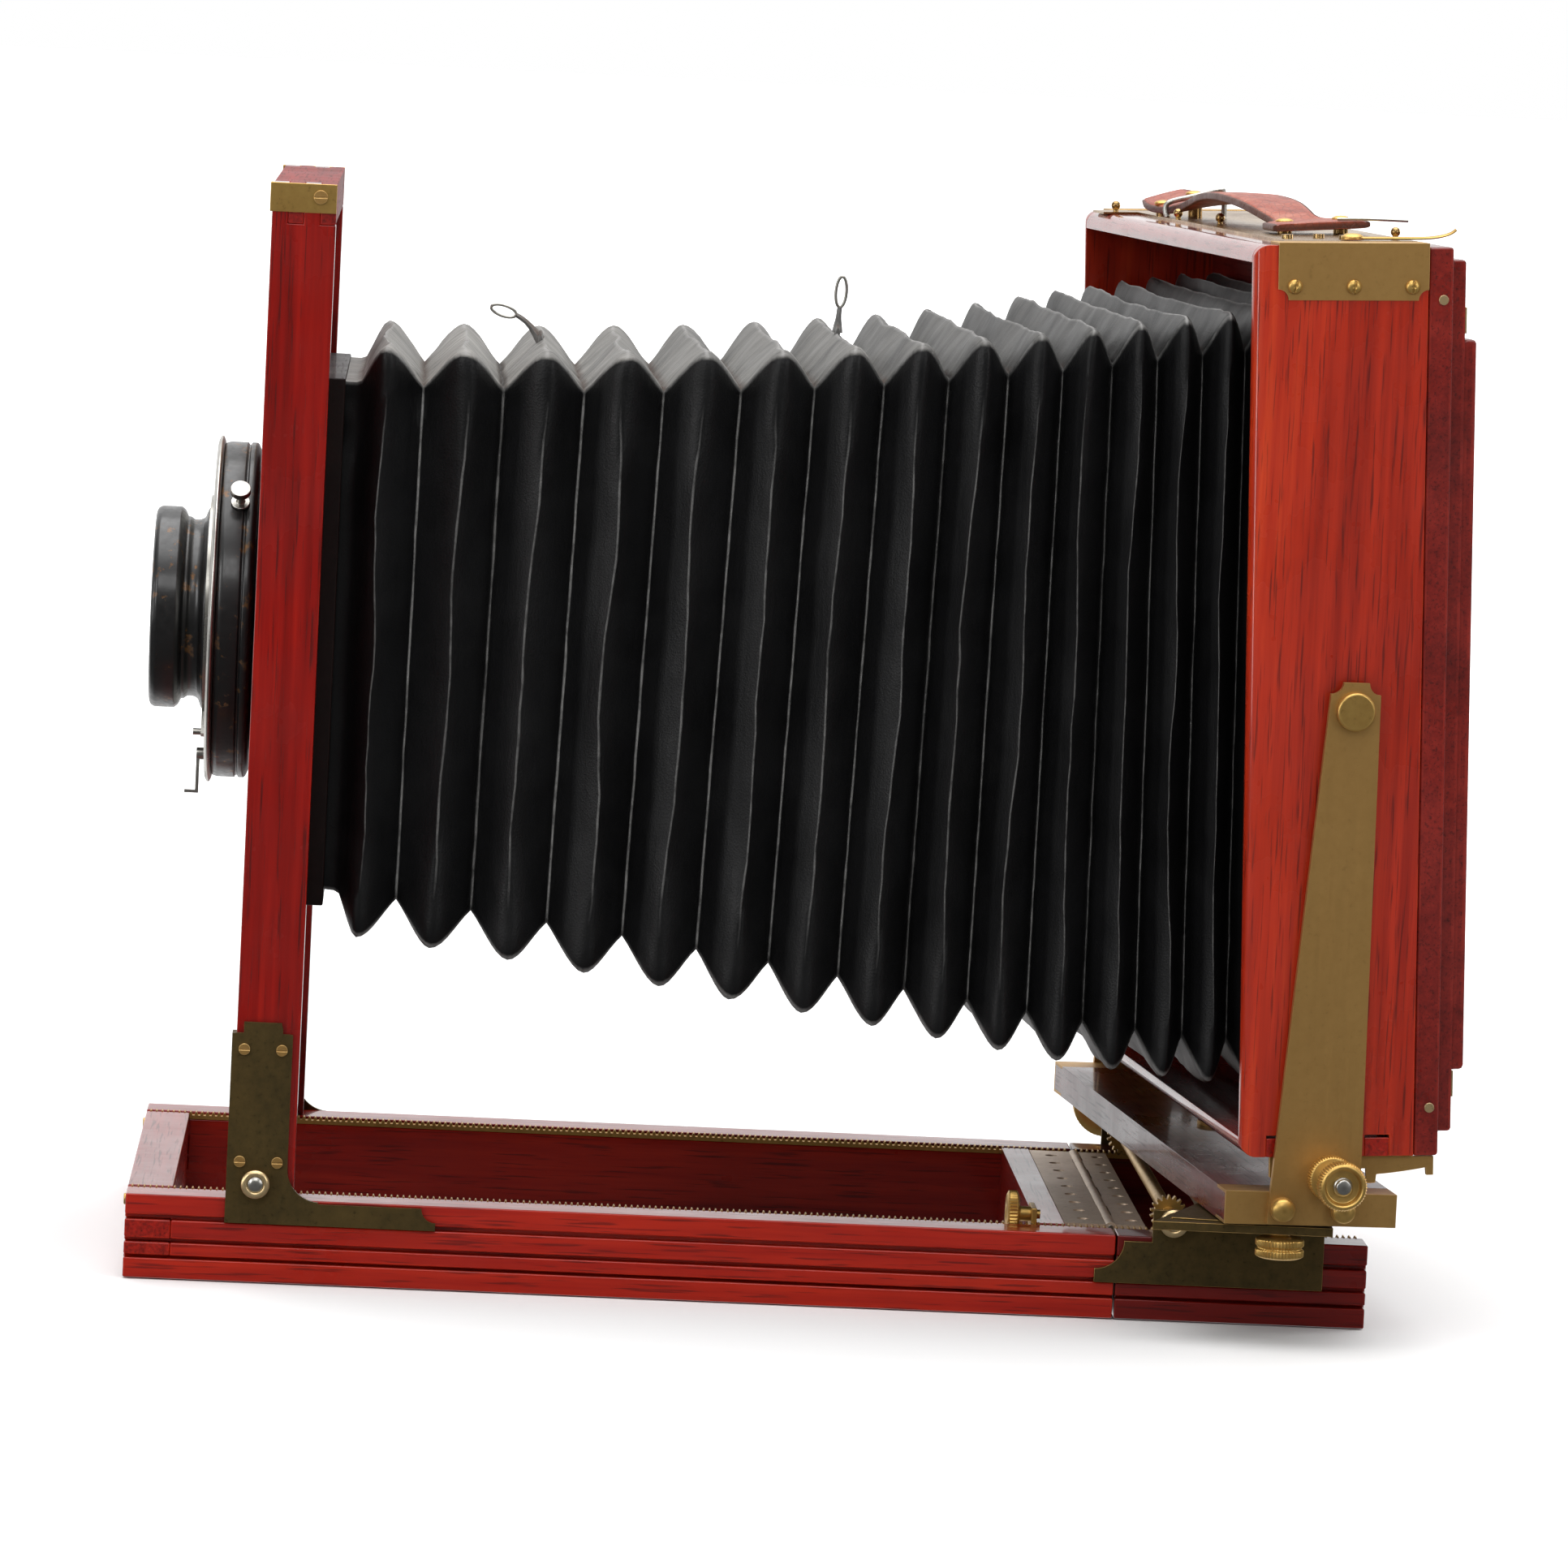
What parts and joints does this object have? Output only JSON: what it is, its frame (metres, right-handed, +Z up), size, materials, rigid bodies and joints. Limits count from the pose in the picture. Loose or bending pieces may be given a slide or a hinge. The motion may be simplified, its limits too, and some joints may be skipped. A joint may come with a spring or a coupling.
{
  "type": "view camera",
  "caption": "Wooden folding-bed view camera with leather bellows, racked front standard, swinging and tilting back, and lens in a shutter.",
  "frame": {"origin": "axis of the tripod bush, at the underside of the bed", "axes": "+Z up; lens points to -Y; +Y towards the ground glass; +X is to the right as seen from in front of the camera looking at its lens, which is the viewer's left"},
  "size_m": [0.3895, 0.4604, 0.3918],
  "materials": {
    "mahogany": "glossy",
    "dark_mahogany": "glossy",
    "brass": "aged satin",
    "nickel": "worn",
    "shutter_enamel": "semi-gloss",
    "bellows_leather": "matte",
    "strap_leather": "waxed",
    "lens_glass": "polished",
    "ground_glass": "ground"
  },
  "bodies": {
    "bed": {"bed_rails": "mahogany", "bed_front_crosspiece": "mahogany", "bed_rear_crosspiece": "mahogany", "bed_hinge_leaves": "brass", "bed_hinge_pin": "brass", "rear_bed_rails": "dark_mahogany", "rear_bed_board": "dark_mahogany", "tripod_bush": "brass", "focus_racks": "brass", "bed_fittings": "brass"},
    "bed_lock": {"bed_lock_knob": "brass"},
    "front_standard": {"front_posts": "mahogany", "front_top_rail": "mahogany", "front_bottom_rail": "mahogany", "front_brackets": "brass", "front_corner_straps": "brass", "front_screws": "brass", "bellows_section_2": "bellows_leather"},
    "front_pinion": {"front_pinion": "brass", "front_focus_knob": "brass"},
    "lens_panel": {"lens_panel": "mahogany", "lensboard": "dark_mahogany", "shutter_body": "shutter_enamel", "shutter_front_ring": "nickel", "front_barrel": "shutter_enamel", "rear_barrel": "shutter_enamel", "lens_glasses": "lens_glass", "bellows_front_frame": "dark_mahogany", "bellows_section_1": "bellows_leather"},
    "lensboard_catch": {"lensboard_slider": "brass"},
    "cocking_lever": {"cocking_lever": "nickel"},
    "aperture_lever": {"aperture_lever": "nickel"},
    "release_lever": {"release_lever": "nickel"},
    "rear_carriage": {"carriage_plates": "brass", "carriage_crossplate": "brass", "bellows_section_3": "bellows_leather"},
    "rear_pinion": {"rear_pinion": "brass", "rear_focus_knob": "brass"},
    "swing_board": {"swing_board": "mahogany", "swing_board_caps": "brass", "tilt_arms": "brass", "bellows_section_4": "bellows_leather"},
    "swing_clamp": {"swing_clamp_knob": "brass"},
    "tilt_lock_right": {"tilt_knob_right": "brass"},
    "tilt_lock_left": {"tilt_knob_left": "brass"},
    "case": {"case_top": "mahogany", "case_bottom": "mahogany", "case_sides": "mahogany", "case_corner_plates": "brass", "case_top_fittings": "brass", "tilt_pivot_screws": "brass", "tilt_quadrants": "brass", "handle_strap": "strap_leather", "bellows_rear_frame": "dark_mahogany", "bellows_section_5": "bellows_leather"},
    "back": {"back_frame": "mahogany", "back_springs": "brass"},
    "ground_glass": {"ground_glass_frame": "mahogany", "ground_glass": "ground_glass"},
    "back_latch": {"back_latch": "brass"}
  },
  "joints": [
    {"name": "front_focus", "type": "slide", "parent": "bed", "child": "front_standard", "axis": [0, 1, 0], "range_m": [-0.034, 0.08], "deforming": ["bellows_section_2"]},
    {"name": "front_pinion_turn", "type": "hinge", "parent": "front_standard", "child": "front_pinion", "pos_m": [0, -0.3318, 0.03497], "axis": [1, 0, 0], "range_deg": [-770, 330]},
    {"name": "lens_rise", "type": "slide", "parent": "front_standard", "child": "lens_panel", "axis": [0, 0, 1], "range_m": [-0.025, 0.03], "deforming": ["bellows_section_1"]},
    {"name": "lensboard_release", "type": "slide", "parent": "lens_panel", "child": "lensboard_catch", "axis": [0, 0, 1], "range_m": [0, 0.006]},
    {"name": "shutter_cocking", "type": "hinge", "parent": "lens_panel", "child": "cocking_lever", "pos_m": [0, -0.359, 0.2245], "axis": [0, 1, 0], "range_deg": [0, 35]},
    {"name": "aperture_setting", "type": "hinge", "parent": "lens_panel", "child": "aperture_lever", "pos_m": [0, -0.359, 0.2245], "axis": [0, 1, 0], "range_deg": [-12, 60]},
    {"name": "shutter_release", "type": "hinge", "parent": "lens_panel", "child": "release_lever", "pos_m": [0.00544, -0.3597, 0.17278], "axis": [0, 1, 0], "range_deg": [0, 10], "stiffness_Nm_per_rad": 0.02},
    {"name": "rear_focus", "type": "slide", "parent": "bed", "child": "rear_carriage", "axis": [0, 1, 0], "range_m": [-0.03, 0.014], "deforming": ["bellows_section_3"]},
    {"name": "rear_pinion_turn", "type": "hinge", "parent": "rear_carriage", "child": "rear_pinion", "pos_m": [0, -0.0126, 0.03497], "axis": [1, 0, 0], "range_deg": [-140, 290]},
    {"name": "rear_swing", "type": "hinge", "parent": "rear_carriage", "child": "swing_board", "pos_m": [0, 0.012, 0.042], "axis": [0, 0, 1], "range_deg": [-12, 2], "deforming": ["bellows_section_4"]},
    {"name": "swing_clamp_turn", "type": "hinge", "parent": "swing_board", "child": "swing_clamp", "pos_m": [0.15998, 0.02057, 0.034], "axis": [0, 0, 1], "continuous": true},
    {"name": "rear_tilt", "type": "hinge", "parent": "swing_board", "child": "case", "pos_m": [-0.00061, 0.01777, 0.22], "axis": [0.9945, 0.1045, 0], "range_deg": [-4.5, 5], "deforming": ["bellows_section_5"]},
    {"name": "tilt_lock_right_turn", "type": "hinge", "parent": "swing_board", "child": "tilt_lock_right", "pos_m": [0.16846, 0.03554, 0.0598], "axis": [0.9945, 0.1045, 0], "continuous": true},
    {"name": "tilt_lock_left_turn", "type": "hinge", "parent": "swing_board", "child": "tilt_lock_left", "pos_m": [-0.16967, 0, 0.0598], "axis": [0.9945, 0.1045, 0], "continuous": true},
    {"name": "back_lift_off", "type": "slide", "parent": "case", "child": "back", "axis": [-0.1045, 0.9938, 0.0384], "range_m": [0, 0.03]},
    {"name": "plate_holder_gap", "type": "slide", "parent": "back", "child": "ground_glass", "axis": [-0.1045, 0.9938, 0.0384], "range_m": [0, 0.01], "stiffness_N_per_m": 300, "springref_m": -0.01},
    {"name": "back_latch_turn", "type": "hinge", "parent": "case", "child": "back_latch", "pos_m": [0.14204, 0.02859, 0.37996], "axis": [0.004, -0.0382, 0.9993], "range_deg": [-80, 0]},
    {"name": "bed_lock_turn", "type": "hinge", "parent": "bed", "child": "bed_lock", "pos_m": [0.09, -0.065, 0.0316], "axis": [0, 1, 0], "continuous": true}
  ],
  "couplings": [
    {"joint": "front_pinion_turn", "follows": "front_focus", "rad_per_m": -166.22},
    {"joint": "rear_pinion_turn", "follows": "rear_focus", "rad_per_m": -166.22}
  ]
}
